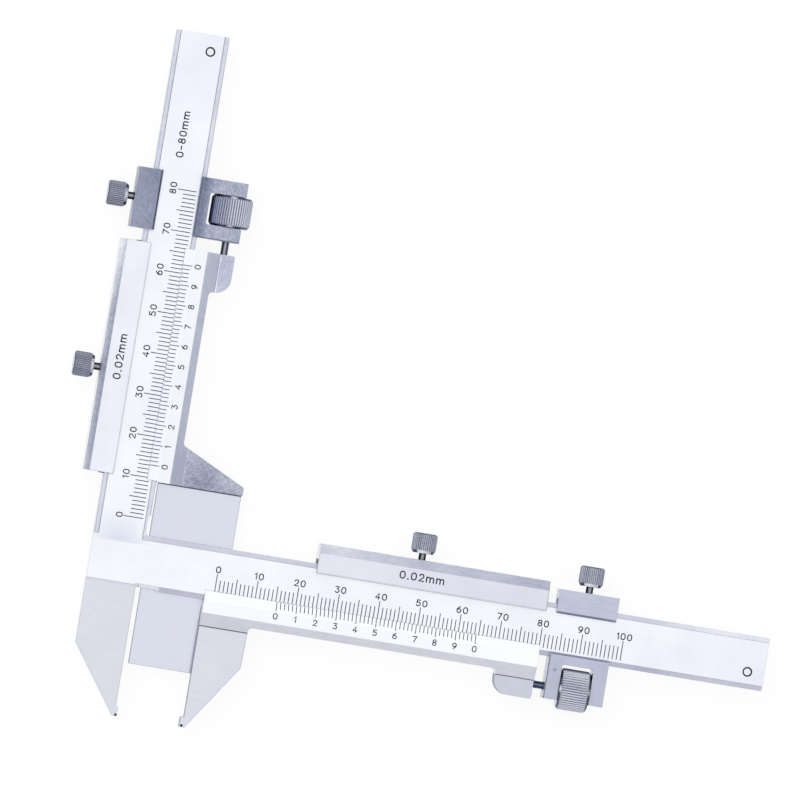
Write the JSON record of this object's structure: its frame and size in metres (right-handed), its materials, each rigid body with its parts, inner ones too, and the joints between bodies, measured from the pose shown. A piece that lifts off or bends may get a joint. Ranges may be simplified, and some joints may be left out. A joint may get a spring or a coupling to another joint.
{
  "type": "gear tooth caliper",
  "caption": "Gear tooth caliper: L-shaped frame, a sliding jaw for chordal thickness and a sliding tongue for tooth height, each with vernier, lock screw and fine adjusting nut.",
  "frame": {"origin": "middle of the fixed jaw's measuring face", "axes": "+X out of that face, along the chordal beam; +Y along the height beam, away from the jaws' tips; +Z out of the graduated face"},
  "size_m": [0.1781, 0.1664, 0.0101],
  "materials": {
    "satin_chrome_frame": "satin chrome plate, engraved scales filled dark",
    "satin_chrome_slider": "satin chrome plate, bands ground",
    "ground_tongue": "lengthwise ground",
    "ground_clamp": "diagonally ground",
    "knurled_steel": "turned and straight knurled",
    "threaded_stud": "darkened thread",
    "blued_screw": "blued, slotted",
    "polished_pin": "polished",
    "bronze_gib": "rolled strip"
  },
  "bodies": {
    "frame": {"frame": "satin_chrome_frame", "stop_pins": "polished_pin"},
    "h_clamp": {"h_clamp": "ground_clamp", "h_clamp_gib": "bronze_gib"},
    "h_clamp_screw": {"h_clamp_screw": "knurled_steel"},
    "h_nut": {"h_nut": "knurled_steel"},
    "h_slider": {"h_slider": "satin_chrome_slider", "h_gib": "bronze_gib", "h_stud": "threaded_stud", "h_stud_pin": "polished_pin"},
    "h_lock_screw": {"h_lock_screw": "knurled_steel"},
    "v_clamp": {"v_clamp": "ground_clamp", "v_clamp_gib": "bronze_gib"},
    "v_clamp_screw": {"v_clamp_screw": "knurled_steel"},
    "v_nut": {"v_nut": "knurled_steel"},
    "v_slider": {"v_slider": "satin_chrome_slider", "v_gib": "bronze_gib", "v_stud": "threaded_stud", "v_stud_pin": "polished_pin", "tongue": "ground_tongue", "tongue_screws": "blued_screw"},
    "v_lock_screw": {"v_lock_screw": "knurled_steel"}
  },
  "joints": [
    {"name": "h_clamp_slide", "type": "slide", "parent": "frame", "child": "h_clamp", "axis": [1, 0, 0], "range_m": [-0.0137, 0.03282]},
    {"name": "h_nut_spin", "type": "hinge", "parent": "h_clamp", "child": "h_nut", "pos_m": [0.10855, 0.0229, -0.00005], "axis": [-1, 0, 0], "range_deg": [-1442, 1802]},
    {"name": "h_slider_fine", "type": "slide", "parent": "h_clamp", "child": "h_slider", "axis": [1, 0, 0], "range_m": [-0.0016, 0.002]},
    {"name": "h_lock_turn", "type": "hinge", "parent": "h_slider", "child": "h_lock_screw", "pos_m": [0.06703, 0.04865, 0.0004], "axis": [0, 1, 0], "range_deg": [0, 720]},
    {"name": "h_clamp_turn", "type": "hinge", "parent": "h_clamp", "child": "h_clamp_screw", "pos_m": [0.10855, 0.04865, 0.0004], "axis": [0, 1, 0], "range_deg": [0, 720]},
    {"name": "v_clamp_slide", "type": "slide", "parent": "frame", "child": "v_clamp", "axis": [0, 1, 0], "range_m": [-0.0115, 0.02915]},
    {"name": "v_nut_spin", "type": "hinge", "parent": "v_clamp", "child": "v_nut", "pos_m": [0.0075, 0.12362, -0.00005], "axis": [0, -1, 0], "range_deg": [-1442, 2522]},
    {"name": "v_slider_fine", "type": "slide", "parent": "v_clamp", "child": "v_slider", "axis": [0, 1, 0], "range_m": [-0.0016, 0.0028]},
    {"name": "v_lock_turn", "type": "hinge", "parent": "v_slider", "child": "v_lock_screw", "pos_m": [-0.01825, 0.08155, 0.0004], "axis": [-1, 0, 0], "range_deg": [0, 720]},
    {"name": "v_clamp_turn", "type": "hinge", "parent": "v_clamp", "child": "v_clamp_screw", "pos_m": [-0.01825, 0.12362, 0.0004], "axis": [-1, 0, 0], "range_deg": [0, 720]}
  ],
  "couplings": [
    {"joint": "h_nut_spin", "follows": "h_slider_fine", "rad_per_m": 15708},
    {"joint": "v_nut_spin", "follows": "v_slider_fine", "rad_per_m": 15708}
  ]
}
